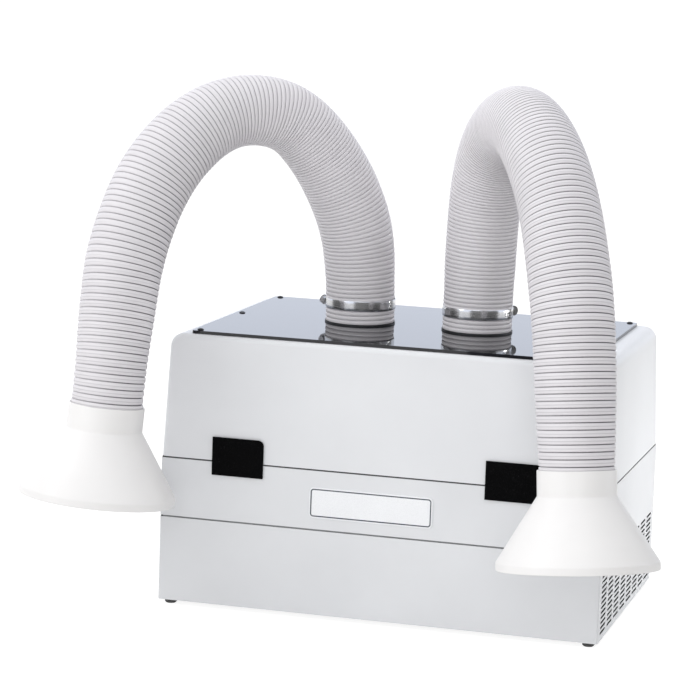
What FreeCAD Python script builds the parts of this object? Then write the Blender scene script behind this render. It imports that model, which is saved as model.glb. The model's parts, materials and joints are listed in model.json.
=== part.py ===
import FreeCAD, Part
import cmath
import math
import os
import re
import Sketcher
from FreeCAD import Placement, Rotation, Vector

# Bench-top twin-arm fume extractor: a cabinet with a blower and a filter stack, a lift-off lid,
# and two flexible ribbed hoses that arch forward and end in conical nozzles.
# Millimetres. +X to the right seen from the front, +Y to the rear, +Z up.
# The origin is on the bench, below the centre of the cabinet.

driving = {
    # cabinet
    "caseWidth": 560,
    "caseDepth": 372,
    "baseHeight": 181,
    "lowerPanelHeight": 106,
    "seamGap": 2,
    "panelThickness": 3,
    "panelEdgeRadius": 2,
    "panFlange": 5,
    "footHeight": 6,
    "footRadius": 7.5,
    "footTaper": 1.5,
    "footInset": 13,
    # side vents
    "ventMargin": 10,
    "ventGap": 11,
    "ventWidth": 3.3,
    "ventCorner": 1,
    "ventColumns": 8,
    "ventRows": 14,
    "ventRowPitch": 6.3,
    "ventFloor": 9.5,
    # rim that the lid seats on
    "rimDepth": 3,
    "rimLipHeight": 9,
    "rimLipThickness": 2.5,
    "rimLidClearance": 1.5,
    "sealThickness": 2,
    "sealWidth": 3,
    "sealInset": 1,
    # lid
    "lidHeight": 155,
    "lidWall": 3,
    "lidSideDraft": 2.5,
    "lidFrontDraft": 1,
    "lidShoulderRadius": 17,
    "lidOutlineRadius": 6.5,
    "lidLedge": 22,
    # top plate and its screws
    "plateThickness": 4,
    "plateSideInset": 31.5,
    "plateFrontInset": 10,
    "plateCornerRadius": 5,
    "plateScrewInset": 9,
    "screwRadius": 2,
    "screwHeadRadius": 4,
    "screwHeadHeight": 1.9,
    "screwCrown": 1.2,
    "screwLength": 9,
    "screwClearance": 0.2,
    # hose collars
    "collarSpacing": 154,
    "collarShift": -4,
    "collarWall": 2.7,
    "collarRise": 45,
    "collarDrop": 9,
    "collarFlange": 2,
    "collarFlangeLip": 1,
    "collarClearance": 0.3,
    "lockRingHeight": 5,
    "lockRingWidth": 8,
    # hoses
    "hoseBore": 76,
    "hoseOutside": 88,
    "hoseGroove": 83.5,
    "ribPitch": 24,
    "ribFlank": 1.6,
    "grooveWidth": 2,
    "leftArmTurn": 40,
    "rightArmTurn": 32.6,
    # band clamps
    "clampWidth": 12.7,
    "clampThickness": 0.8,
    "clampRise": 23.5,
    "clampClearance": 0.2,
    "clampHousingLength": 15,
    "clampHousingHeight": 8,
    "clampScrewRadius": 3,
    "clampScrewHeadRadius": 4,
    "clampScrewHeadLength": 4.5,
    "clampScrewTail": 2.5,
    "leftClampTurn": 172,
    "rightClampTurn": 39,
    # nozzles
    "nozzleRim": 190,
    "nozzleLength": 115,
    "nozzleCollar": 30,
    "nozzleSocket": 26,
    "nozzleLip": 9,
    "nozzleWall": 2,
    "nozzleClearance": 0.3,
    # hook-and-loop tabs
    "tabWidth": 66,
    "tabBelowSeam": 17,
    "tabAboveSeam": 31,
    "tabThickness": 1.5,
    "tabCornerRadius": 6,
    "tabHingeGap": 0.3,
    "tabPlay": 0.3,
    "hookThickness": 1.2,
    "leftTabInset": 100,
    "rightTabInset": 113,
    # deck, blower and motor
    "deckThickness": 3,
    "railWidth": 14,
    "railHeight": 9,
    "railThickness": 2,
    "railEndGap": 14,
    "eyeRadius": 70,
    "eyeWall": 2.5,
    "eyeFlare": 12,
    "eyeFlange": 10,
    "eyeReach": 19,
    "eyeGap": 2.5,
    "wheelRadius": 112,
    "wheelLip": 6,
    "wheelRake": 12,
    "wheelPlate": 3,
    "wheelFloor": 34,
    "bladeCount": 7,
    "bladeInner": 61,
    "bladeRadius": 78,
    "bladeThickness": 3,
    "bladeGap": 2,
    "motorPlateRadius": 70,
    "motorPlateThickness": 4,
    "statorRadius": 44,
    "statorHeight": 40,
    "statorFoot": 52,
    "statorFootHeight": 8,
    "rotorWall": 4,
    "airGap": 1.5,
    "rotorRoof": 5,
    "rotorFlange": 9,
    "wheelBoreGap": 0.3,
    "shaftRadius": 4,
    "shaftPlay": 0.05,
    "motorScrewCircle": 61,
    "motorScrewCount": 4,
    "motorScrewTurn": 45,
    # filter stack
    "filterInset": 19,
    "gasketHeight": 5,
    "gasketWidth": 14,
    "carbonHeight": 30,
    "hepaHeight": 68,
    "prefilterHeight": 12,
    "stackGasket": 3,
    "frameWall": 9,
    "frameLip": 4,
    "filterPlay": 0.3,
    "pleatPitch": 14,
    "pleatThickness": 2.4,
    # power entry on the rear panel
    "powerHeight": 48,
    "inletInset": 80,
    "inletWidth": 30,
    "inletHeight": 22,
    "inletDepth": 24,
    "inletFlange": 5,
    "inletFlangeThickness": 3,
    "wellWidth": 24.4,
    "wellHeight": 16.6,
    "wellDepth": 18,
    "pinWidth": 2,
    "pinHeight": 4,
    "pinLength": 16,
    "pinSpacing": 7,
    "earthOffset": 4,
    "switchSpacing": 50,
    "rockerWidth": 12,
    "rockerRadius": 10.3,
    "rockerSeat": 4,
    "rockerFace": 5,
    "rockerAngle": 9,
    "rockerPlay": 0.4,
    "pivotRadius": 1.5,
    "pivotPlay": 0.05,
    "bezelWall": 2.2,
    "bezelLip": 2.4,
    "bezelLipThickness": 2,
    "bezelDepth": 18,
    "cutoutPlay": 0.2,
    # how far a cutting block runs past the face it opens
    "cutOver": 1,
}

# Heights and half sizes that several pieces share.
shared = {
    "panTop": "footHeight + panelThickness",
    "panelTop": "footHeight + baseHeight",
    "lowerPanelTop": "footHeight + lowerPanelHeight",
    "deckTop": "lowerPanelTop + seamGap / 2",
    "deckBottom": "deckTop - deckThickness",
    "halfInside": "caseWidth / 2 - panelThickness",
    "halfInsideDepth": "caseDepth / 2 - panelThickness",
    "rimLipSide": "caseWidth / 2 - lidWall - rimLidClearance",
    "rimLipFront": "caseDepth / 2 - lidWall - rimLidClearance",
    "rimOpeningSide": "rimLipSide - rimLipThickness",
    "rimOpeningFront": "rimLipFront - rimLipThickness",
    "lidBottom": "panelTop + sealThickness",
    "lidTop": "lidBottom + lidHeight",
    "plateTop": "lidTop + plateThickness",
    "halfPlate": "caseWidth / 2 - plateSideInset",
    "halfPlateDepth": "caseDepth / 2 - plateFrontInset",
    "screwSide": "halfPlate - plateScrewInset",
    "screwFront": "halfPlateDepth - plateScrewInset",
    "hoseFoot": "plateTop + collarFlange",
    "spigotRadius": "hoseBore / 2 - collarClearance",
    "plateHole": "spigotRadius + collarClearance",
    "clampInner": "hoseOutside / 2 + clampClearance",
    "clampOuter": "clampInner + clampThickness",
    "seamHeight": "panelTop + sealThickness / 2",
    "tabBack": "-caseDepth / 2",
    "tabFace": "tabBack - hookThickness - tabPlay - tabThickness",
    "stackFloor": "deckTop + gasketHeight",
    "carbonTop": "stackFloor + carbonHeight",
    "hepaFloor": "carbonTop + stackGasket",
    "hepaTop": "hepaFloor + hepaHeight",
    "motorSeat": "panTop + motorPlateThickness",
    "statorTop": "motorSeat + statorHeight",
    "rotorInner": "statorRadius + airGap",
    "rotorOuter": "rotorInner + rotorWall",
    "rotorTop": "statorTop + airGap + rotorRoof",
    "wheelBore": "rotorOuter + wheelBoreGap",
    "wheelBase": "panTop + wheelFloor",
    "eyeBottom": "deckTop - eyeReach",
    "wheelEye": "eyeRadius + eyeWall + eyeGap",
    "wheelTop": "eyeBottom + wheelLip",
    "rearFace": "caseDepth / 2",
    "ventColumnPitch": "(caseDepth - 2 * ventMargin) / ventColumns",
    "leftTabPlace": "leftTabInset - caseWidth / 2",
    "rightTabPlace": "caseWidth / 2 - rightTabInset",
    "filterWidth": "caseWidth - 2 * filterInset",
    "filterDepth": "caseDepth - 2 * filterInset",
    "inletPlace": "caseWidth / 2 - inletInset",
    "switchPlace": "inletPlace - switchSpacing",
    "pivotDepth": "rearFace - rockerSeat",
    "bezelHalfWidth": "rockerWidth / 2 + rockerPlay",
    "bezelHalfHeight": "rockerRadius + rockerPlay",
}

# Route of each hose from its collar to its nozzle: reach along the arm and rise above the collar.
armRoutes = {
    "left": [(0, 0), (0, 78), (10, 142), (58, 214), (124, 270), (220, 272), (302, 209), (346, 112), (358, 25),
             (371, -110)],
    "right": [(0, 0), (0, 130), (26, 225), (96, 274), (172, 264), (257, 203), (315, 100), (342, 2),
              (364, -135)],
}
bendShare = 0.4  # part of the shorter run that each arc of a hose takes up
margin = 1  # how far an edge may lie from the face by which it is picked
sides = {"left": -1, "right": 1}
round_corners = {"left": 1, "right": 0}  # top corners of each tab that are rounded, from the right
screw_spots = [(x, y) for x in ("-screwSide", "screwSide") for y in ("-screwFront", "0", "screwFront")]

doc = FreeCAD.newDocument("fume_extractor")
sheet = doc.addObject("Spreadsheet::Sheet", "sizes")
for row, (name, size) in enumerate(driving.items(), 1):
    sheet.set(f"A{row}", name)
    sheet.set(f"B{row}", str(size))
    sheet.setAlias(f"B{row}", name)
doc.recompute()
subparts = []


def linked(formula):
    """The formula with every size name written as a reference to the sheet."""
    def swap(match):
        word = match.group()
        if word in driving:
            return "sizes." + word
        if word in shared:
            return "(" + linked(shared[word]) + ")"
        return word
    return re.sub(r"[A-Za-z]+", swap, str(formula))


def number(formula):
    return float(sheet.evalExpression(linked(formula)))


def keep(piece):
    """Adds a finished piece to the sub-parts that are written out."""
    subparts.append(piece)
    return piece


def placed(piece, x="0", y="0", z="0"):
    for axis, formula in zip("xyz", (x, y, z)):
        piece.setExpression(f".Placement.Base.{axis}", linked(formula))
    return piece


def block(name, x, y, z):
    """A box between low and high limits along each axis."""
    box = doc.addObject("Part::Box", name)
    for size, (low, high) in zip(("Length", "Width", "Height"), (x, y, z)):
        box.setExpression(size, linked(f"({high}) - ({low})"))
    return placed(box, x[0], y[0], z[0])


def collar_place(side):
    return f"{side} * collarSpacing / 2 + collarShift"


def centred(half):
    return f"-({half})", half


def cylinder(name, radius, height, x="0", y="0", z="0"):
    rod = doc.addObject("Part::Cylinder", name)
    rod.setExpression("Radius", linked(radius))
    rod.setExpression("Height", linked(height))
    return placed(rod, x, y, z)


def cut(name, base, *tools):
    for index, tool in enumerate(tools, 1):
        step = doc.addObject("Part::Cut", name if index == len(tools) else f"{name}_cut{index}")
        step.Base = base
        step.Tool = tool
        base = step
    return base


def fuse(name, *pieces):
    union = doc.addObject("Part::MultiFuse", name)
    union.Shapes = list(pieces)
    return union


def group(name, *pieces):
    """Identical loose pieces that share one sub-part."""
    compound = doc.addObject("Part::Compound", name)
    compound.Links = list(pieces)
    return compound


def rounded(name, base, radius, wanted):
    """Fillets the edges of a solid for which wanted(middle, direction) is true."""
    doc.recompute()
    fillet = doc.addObject("Part::Fillet", name)
    fillet.Base = base
    size = number(radius)
    fillet.Edges = [(index, size, size) for index, edge in enumerate(base.Shape.Edges, 1)
                    if wanted(edge.CenterOfMass, edge.tangentAt(edge.FirstParameter))]
    return fillet


def solid(name, shape, place=None):
    """A piece whose form comes from a formula."""
    piece = doc.addObject("Part::Feature", name)
    piece.Shape = shape
    if place:
        piece.Placement = place
    return piece


def copies(name, source, spots):
    """Copies of one small piece at several spots, as one group of solids."""
    doc.recompute()
    shapes = []
    for spot in spots:
        shape = source.Shape.copy()
        shape.translate(Vector(*[number(formula) for formula in spot]))
        shapes.append(shape)
    return solid(name, Part.makeCompound(shapes))


def sketch_on(body, role, name):
    sketch = body.newObject("Sketcher::SketchObject", name)
    plane = next(feature for feature in body.Origin.OriginFeatures if feature.Role == role)
    sketch.AttachmentSupport = (plane, "")
    sketch.MapMode = "FlatFace"
    return sketch


def pin_point(sketch, shape, point, x, y):
    for kind, formula in (("DistanceX", x), ("DistanceY", y)):
        index = sketch.addConstraint(Sketcher.Constraint(kind, -1, 1, shape, point, number(formula)))
        sketch.setExpression(f"Constraints[{index}]", linked(formula))


def draw_outline(sketch, corners):
    """A closed outline of straight lines whose corners follow formulas."""
    first = sketch.GeometryCount
    count = len(corners)
    spots = [Vector(number(x), number(y), 0) for x, y in corners]
    for index in range(count):
        sketch.addGeometry(Part.LineSegment(spots[index], spots[(index + 1) % count]), False)
    for index, (x, y) in enumerate(corners):
        following = first + (index + 1) % count
        sketch.addConstraint(Sketcher.Constraint("Coincident", first + index, 2, following, 1))
        pin_point(sketch, first + index, 1, x, y)


def draw_rectangle(sketch, half_x, half_y):
    draw_outline(sketch, [(f"-({half_x})", f"-({half_y})"), (half_x, f"-({half_y})"),
                          (half_x, half_y), (f"-({half_x})", half_y)])


def draw_circle(sketch, x, y, radius):
    centre = Vector(number(x), number(y), 0)
    shape = sketch.addGeometry(Part.Circle(centre, Vector(0, 0, 1), number(radius)), False)
    pin_point(sketch, shape, 3, x, y)
    index = sketch.addConstraint(Sketcher.Constraint("Radius", shape, number(radius)))
    sketch.setExpression(f"Constraints[{index}]", linked(radius))


def turned(name, outline, x="0", y="0"):
    """A body of revolution about a vertical axis; the outline holds radius and height pairs."""
    body = doc.addObject("PartDesign::Body", name)
    sketch = sketch_on(body, "XZ_Plane", name + "_outline")
    draw_outline(sketch, outline)
    turn = body.newObject("PartDesign::Revolution", name + "_turn")
    turn.Profile = sketch
    turn.ReferenceAxis = (sketch, ["V_Axis"])
    turn.Angle = 360
    return placed(body, x, y)


def padded_plate(name, height, draw, z):
    """A flat plate: draw(sketch) makes its outline and holes."""
    body = doc.addObject("PartDesign::Body", name)
    sketch = sketch_on(body, "XY_Plane", name + "_outline")
    draw(sketch)
    pad = body.newObject("PartDesign::Pad", name + "_pad")
    pad.Profile = sketch
    pad.setExpression("Length", linked(height))
    return placed(body, z=z)


def runs(direction, axis):
    """True for an edge that runs along the named axis."""
    return abs(getattr(direction, axis)) > 0.99


# Cabinet base
def make_base():
    floor = block("pan_outer", centred("halfInside"), centred("halfInsideDepth"),
                  ("footHeight", "panTop + panFlange"))
    hollow = block("pan_hollow", centred("halfInside - panelThickness"),
                   centred("halfInsideDepth - panelThickness"), ("panTop", "panTop + 2 * panFlange"))
    keep(cut("base_pan", floor, hollow))

    foot = turned("foot", [("0", "0"), ("footRadius - footTaper", "0"), ("footRadius", "footTaper"),
                           ("footRadius", "footHeight"), ("0", "footHeight")])
    corner_x = "caseWidth / 2 - footInset"
    corner_y = "caseDepth / 2 - footInset"
    corners = [(f"{x}({corner_x})", f"{y}({corner_y})", "0") for x in "-+" for y in "-+"]
    keep(copies("rubber_feet", foot, corners))

    inside = -number("halfInsideDepth") - margin
    for name, low, high in (("front_panel", "footHeight", "lowerPanelTop"),
                            ("front_strip", "lowerPanelTop + seamGap", "panelTop")):
        sheet_panel = block(name + "_sheet", centred("caseWidth / 2"), ("-caseDepth / 2", "-halfInsideDepth"),
                            (low, high))
        keep(rounded(name, sheet_panel, "panelEdgeRadius",
                     lambda middle, direction: runs(direction, "z") and middle.y < inside))

    for name, side in sides.items():
        keep(make_side_panel(name + "_side_panel", side))

    rear = block("rear_sheet", centred("halfInside"), ("halfInsideDepth", "rearFace"),
                 ("footHeight", "panelTop"))
    holes = []
    for name, place, half_x, half_z in (("inlet_hole", "inletPlace", "inletWidth / 2", "inletHeight / 2"),
                                        ("switch_hole", "switchPlace", "bezelHalfWidth + bezelWall",
                                         "bezelHalfHeight + bezelWall")):
        across = f"({half_x} + cutoutPlay)"
        up = f"({half_z} + cutoutPlay)"
        holes.append(block(name, (f"{place} - {across}", f"{place} + {across}"),
                           ("halfInsideDepth - panelThickness", "rearFace + panelThickness"),
                           (f"powerHeight - {up}", f"powerHeight + {up}")))
    keep(cut("rear_panel", rear, *holes))

    flange = block("rim_flange", centred("halfInside"), centred("halfInsideDepth"),
                   ("panelTop - rimDepth", "panelTop"))
    lip = block("rim_lip", centred("rimLipSide"), centred("rimLipFront"),
                ("panelTop", "panelTop + rimLipHeight"))
    opening = block("rim_opening", centred("rimOpeningSide"), centred("rimOpeningFront"),
                    ("panelTop - 2 * rimDepth", "panelTop + 2 * rimLipHeight"))
    keep(cut("rim_frame", fuse("rim_section", flange, lip), opening))

    seal = block("seal_outer", centred("caseWidth / 2 - sealInset"), centred("caseDepth / 2 - sealInset"),
                 ("panelTop", "lidBottom"))
    seal_hole = block("seal_hole", centred("caseWidth / 2 - sealInset - sealWidth"),
                      centred("caseDepth / 2 - sealInset - sealWidth"),
                      ("panelTop - cutOver", "lidBottom + cutOver"))
    keep(cut("lid_seal", seal, seal_hole))


def make_side_panel(name, side):
    """A flat panel with a grid of long exhaust slots, cut as one holed face."""
    front = -number("halfInsideDepth")
    rear = number("rearFace")
    low = number("footHeight")
    high = number("panelTop")
    inner = side * number("halfInside")

    def loop(corners):
        return Part.makePolygon([Vector(inner, y, z) for y, z in corners + corners[:1]])

    def slot(y_low, y_high, z_low, z_high):
        nick = number("ventCorner")
        return loop([(y_low + nick, z_low), (y_high - nick, z_low),
                     (y_high, z_low + nick), (y_high, z_high - nick),
                     (y_high - nick, z_high), (y_low + nick, z_high),
                     (y_low, z_high - nick), (y_low, z_low + nick)])

    columns = int(number("ventColumns"))
    rows = int(number("ventRows"))
    half = number("ventColumnPitch - ventGap") / 2
    slots = []
    for column in range(columns):
        middle = (column - (columns - 1) / 2) * number("ventColumnPitch")
        for row in range(rows):
            floor = low + number("ventFloor") - number("ventWidth") / 2 + row * number("ventRowPitch")
            slots.append(slot(middle - half, middle + half, floor, floor + number("ventWidth")))
    outline = loop([(front, low), (rear, low), (rear, high), (front, high)])
    face = Part.makeFace([outline] + slots, "Part::FaceMakerBullseye")
    return solid(name, face.extrude(Vector(side * number("panelThickness"), 0, 0)))


# Lid, top plate and hose collars
def lid_form(name, inset, low, high, shoulder, outline):
    """A drafted block with round shoulders and a smaller round along its front and rear outlines."""
    levels = []
    for level, height in (("foot", low), ("crown", high)):
        sketch = doc.addObject("Sketcher::SketchObject", f"{name}_{level}")
        draw_rectangle(sketch, f"caseWidth / 2 - {inset} - ({height} - lidBottom) * tan(lidSideDraft)",
                       f"caseDepth / 2 - {inset} - ({height} - lidBottom) * tan(lidFrontDraft)")
        levels.append(placed(sketch, z=height))
    loft = doc.addObject("Part::Loft", name + "_loft")
    loft.Sections = levels
    loft.Solid = True
    loft.Ruled = True
    ceiling = number(high) - margin
    floor = number(low) + margin
    half = number("caseDepth") / 4
    shoulders = rounded(name + "_shoulders", loft, shoulder,
                        lambda middle, direction: runs(direction, "y") and middle.z > ceiling)
    return rounded(name, shoulders, outline,
                   lambda middle, direction: abs(middle.y) > half and middle.z > floor)


def make_lid():
    outside = lid_form("lid_outside", "0", "lidBottom", "lidTop", "lidShoulderRadius", "lidOutlineRadius")
    inside = lid_form("lid_inside", "lidWall", "lidBottom - lidWall", "lidTop - lidWall",
                      "lidShoulderRadius - lidWall", "lidOutlineRadius - lidWall")
    window = block("lid_window", centred("halfPlate - lidLedge"), centred("halfPlateDepth - lidLedge"),
                   ("lidTop - 2 * lidWall", "lidTop + lidWall"))
    drill = cylinder("lid_drill", "screwRadius + screwClearance", "4 * lidWall")
    holes = copies("lid_holes", drill, [(x, y, "lidTop - 2 * lidWall") for x, y in screw_spots])
    keep(cut("lid_shell", outside, inside, window, holes))


def make_top():
    def outline(sketch):
        draw_rectangle(sketch, "halfPlate", "halfPlateDepth")
        for x, y in screw_spots:
            draw_circle(sketch, x, y, "screwRadius + screwClearance")
        for side in sides.values():
            draw_circle(sketch, collar_place(side), "0", "plateHole")

    plate = padded_plate("top_plate", "plateThickness", outline, "lidTop")
    doc.recompute()
    pad = plate.Tip
    reach = number("halfPlate") - margin
    corners = [f"Edge{index}" for index, edge in enumerate(pad.Shape.Edges, 1)
               if abs(edge.CenterOfMass.x) > reach and runs(edge.tangentAt(edge.FirstParameter), "z")]
    rounding = plate.newObject("PartDesign::Fillet", "plate_corners")
    rounding.Base = (pad, corners)
    rounding.setExpression("Radius", linked("plateCornerRadius"))
    keep(plate)

    screw = turned("plate_screw", [
        ("0", "-screwLength"), ("screwRadius", "-screwLength"), ("screwRadius", "0"),
        ("screwHeadRadius", "0"), ("screwHeadRadius", "screwHeadHeight - screwCrown"),
        ("screwHeadRadius - screwCrown", "screwHeadHeight"), ("0", "screwHeadHeight")])
    keep(copies("plate_screws", screw, [(x, y, "plateTop") for x, y in screw_spots]))

    for name, side in sides.items():
        x = collar_place(side)
        inner = "spigotRadius - collarWall"
        flange = "hoseOutside / 2 + collarFlangeLip"
        keep(turned(name + "_collar", [
            (inner, "lidTop - collarDrop"), ("spigotRadius", "lidTop - collarDrop"),
            ("spigotRadius", "plateTop"), (flange, "plateTop"), (flange, "hoseFoot"),
            ("spigotRadius", "hoseFoot"), ("spigotRadius", "hoseFoot + collarRise"),
            (inner, "hoseFoot + collarRise")], x))
        ring = "spigotRadius + collarClearance"
        keep(turned(name + "_lock_ring", [(ring, "lidTop - lockRingHeight"),
                                          (f"{ring} + lockRingWidth", "lidTop - lockRingHeight"),
                                          (f"{ring} + lockRingWidth", "lidTop"), (ring, "lidTop")], x))


# Hoses, clamps and nozzles
def smooth_path(points):
    """Straight runs joined by tangent arcs: start, direction, length and turn of each."""
    corners = [complex(*point) for point in points]
    pieces = []
    here = corners[0]
    for before, corner, after in zip(corners, corners[1:], corners[2:]):
        arriving = (corner - before) / abs(corner - before)
        leaving = (after - corner) / abs(after - corner)
        turn = cmath.phase(leaving / arriving)
        trim = bendShare * min(abs(corner - before), abs(after - corner))
        start = corner - arriving * trim
        pieces.append((here, arriving, abs(start - here), 0.0))
        pieces.append((start, arriving, trim / math.tan(abs(turn) / 2) * abs(turn), turn))
        here = corner + leaving * trim
    last = corners[-1]
    pieces.append((here, (last - here) / abs(last - here), abs(last - here), 0.0))
    return pieces


def station(pieces, distance):
    """Point and direction at a distance along the path."""
    for start, direction, length, turn in pieces:
        if distance <= length + 1e-6:
            break
        distance -= length
    if not turn:
        return start + direction * distance, direction
    bend = turn / length
    angle = bend * distance
    swing = complex(math.sin(angle), 1 - math.cos(angle)) / bend
    return start + direction * swing, direction * cmath.exp(1j * angle)


class Arm:
    """The upright plane that one hose lies in."""

    def __init__(self, name):
        side = sides[name]
        turn = math.radians(number(name + "ArmTurn"))
        self.foot = Vector(number(collar_place(side)), 0, number("hoseFoot"))
        self.reach = Vector(side * math.sin(turn), -math.cos(turn), 0)
        self.across = self.reach.cross(Vector(0, 0, 1))
        self.path = smooth_path(armRoutes[name])
        self.length = sum(piece[2] for piece in self.path)

    def direction(self, flat):
        return self.reach * flat.real + Vector(0, 0, 1) * flat.imag

    def spot(self, distance):
        point, heading = station(self.path, distance)
        return self.foot + self.direction(point), self.direction(heading)

    def ring(self, distance, radius):
        point, heading = self.spot(distance)
        turn = Rotation(self.across, heading.cross(self.across), heading, "ZXY")
        wire = Part.Wire(Part.makeCircle(radius))
        wire.Placement = Placement(point, turn)
        return wire


def make_hose(name, arm):
    """Ribbed hose with its bore: wide crests with narrow grooves between them."""
    crest = number("hoseOutside") / 2
    groove = number("hoseGroove") / 2
    bore = number("hoseBore") / 2
    ribs = int(arm.length / number("ribPitch"))
    pitch = arm.length / ribs
    width = pitch - number("grooveWidth") - 2 * number("ribFlank")
    outer = []
    for rib in range(ribs):
        start = rib * pitch
        outer.append(arm.ring(start, crest))
        outer.append(arm.ring(start + width, crest))
        outer.append(arm.ring(start + width + number("ribFlank"), groove))
        outer.append(arm.ring(start + width + number("ribFlank") + number("grooveWidth"), groove))
    outer.append(arm.ring(arm.length, crest))
    inner = [arm.ring(rib * pitch, bore) for rib in range(ribs + 1)]
    wall = Part.makeLoft(outer, False, True).Faces + Part.makeLoft(inner, False, True).Faces
    ends = [Part.makeFace([outer[index], inner[index]], "Part::FaceMakerBullseye") for index in (0, -1)]
    shell = Part.makeShell(wall + ends)
    shell.sewShape()
    hose = Part.makeSolid(shell)
    if hose.Volume < 0:
        hose.reverse()
    section = math.pi * (crest ** 2 - bore ** 2)
    radii = [round(length / abs(turn)) for _, _, length, turn in arm.path if turn]
    print(f"{name}: length {arm.length:.0f}, ribs {ribs}, radii {radii}, "
          f"volume over section times length {hose.Volume / (section * arm.length):.3f}")
    return solid(name, hose)


def make_clamp(name):
    """Worm-drive band: the strap, the screw housing on it, and the screw in the housing."""
    x = collar_place(sides[name])
    low = "hoseFoot + clampRise - clampWidth / 2"
    high = "hoseFoot + clampRise + clampWidth / 2"
    keep(turned(name + "_clamp_band", [("clampInner", low), ("clampOuter", low), ("clampOuter", high),
                                       ("clampInner", high)], x))
    turn = Rotation(Vector(0, 0, 1), number(name + "ClampTurn"))
    place = Placement(Vector(number(x), 0, number("hoseFoot + clampRise")), turn)
    seat = number("clampOuter + clampClearance")
    half = number("clampWidth") / 2
    height = number("clampHousingHeight")
    length = number("clampHousingLength")
    bore = number("clampScrewRadius + clampClearance")
    axis = Vector(seat + height - number("clampScrewRadius") - 2 * number("clampThickness"), 0, 0)
    arch = Part.Face(Part.Wire([
        Part.makeLine(Vector(seat, -length / 2, -half), Vector(axis.x, -length / 2, -half)),
        Part.Arc(Vector(axis.x, -length / 2, -half), Vector(seat + height, -length / 2, 0),
                 Vector(axis.x, -length / 2, half)).toShape(),
        Part.makeLine(Vector(axis.x, -length / 2, half), Vector(seat, -length / 2, half)),
        Part.makeLine(Vector(seat, -length / 2, half), Vector(seat, -length / 2, -half))]))
    bridge = arch.extrude(Vector(0, length, 0))
    along_y = Vector(0, 1, 0)
    barrel = Part.makeCylinder(bore, 2 * length, axis - along_y * length, along_y)
    keep(solid(name + "_clamp_housing", bridge.cut(barrel), place))

    shank = number("clampScrewTail") + length + number("clampClearance")
    tail = axis - along_y * (length / 2 + number("clampScrewTail"))
    screw = Part.makeCylinder(number("clampScrewRadius"), shank, tail, along_y)
    head_radius = number("clampScrewHeadRadius")
    head_start = tail + along_y * shank
    hexagon = []
    for corner in range(7):
        angle = corner * math.pi / 3
        hexagon.append(head_start + Vector(math.sin(angle), 0, math.cos(angle)) * head_radius)
    head = Part.Face(Part.makePolygon(hexagon)).extrude(along_y * number("clampScrewHeadLength"))
    keep(solid(name + "_clamp_screw", screw.fuse(head).removeSplitter(), place))


def make_nozzle(name, arm):
    """Conical nozzle: its socket takes the hose end and its rim is a short upright lip."""
    socket = "hoseOutside / 2 + nozzleClearance"
    neck = "nozzleSocket - nozzleCollar"
    rim = "nozzleSocket - nozzleLength"
    nozzle = turned(name + "_nozzle", [
        (socket, "nozzleSocket"), (socket, "-nozzleClearance"), ("hoseBore / 2", "-nozzleClearance"),
        ("hoseBore / 2", neck), (socket, neck), ("nozzleRim / 2 - nozzleWall", f"{rim} + nozzleLip"),
        ("nozzleRim / 2 - nozzleWall", rim), ("nozzleRim / 2", rim), ("nozzleRim / 2", f"{rim} + nozzleLip"),
        (f"{socket} + nozzleWall", neck), (f"{socket} + nozzleWall", "nozzleSocket")])
    doc.recompute()
    tip, heading = arm.spot(arm.length)
    for axis in "xyz":
        nozzle.setExpression(f".Placement.Base.{axis}", None)
    nozzle.Placement = Placement(tip, Rotation(Vector(0, 0, 1), heading * -1))
    keep(nozzle)


def make_arms():
    for name in sides:
        arm = Arm(name)
        keep(make_hose(name + "_hose", arm))
        make_clamp(name)
        make_nozzle(name, arm)


# Hook-and-loop tabs that hold the lid down
def make_tabs():
    for name in sides:
        place = name + "TabPlace"
        width = (f"{place} - tabWidth / 2", f"{place} + tabWidth / 2")
        keep(block(name + "_tab_base", width, ("tabFace", "tabBack"),
                   ("seamHeight - tabBelowSeam", "seamHeight - tabHingeGap")))
        strip = block(name + "_flap_strip", width, ("tabFace", "tabFace + tabThickness"),
                      ("seamHeight + tabHingeGap", "seamHeight + tabAboveSeam"))
        if round_corners[name]:
            crown = number("seamHeight + tabAboveSeam") - margin
            middle_of_tab = number(place)
            keep(rounded(name + "_tab_flap", strip, "tabCornerRadius",
                         lambda middle, direction: runs(direction, "y") and middle.z > crown
                         and middle.x > middle_of_tab))
        else:
            strip.Label = name + "_tab_flap"
            keep(strip)
        keep(block(name + "_hook_patch", width, ("tabBack - hookThickness", "tabBack"),
                   ("lidBottom + tabHingeGap", "seamHeight + tabAboveSeam - tabCornerRadius")))


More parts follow.
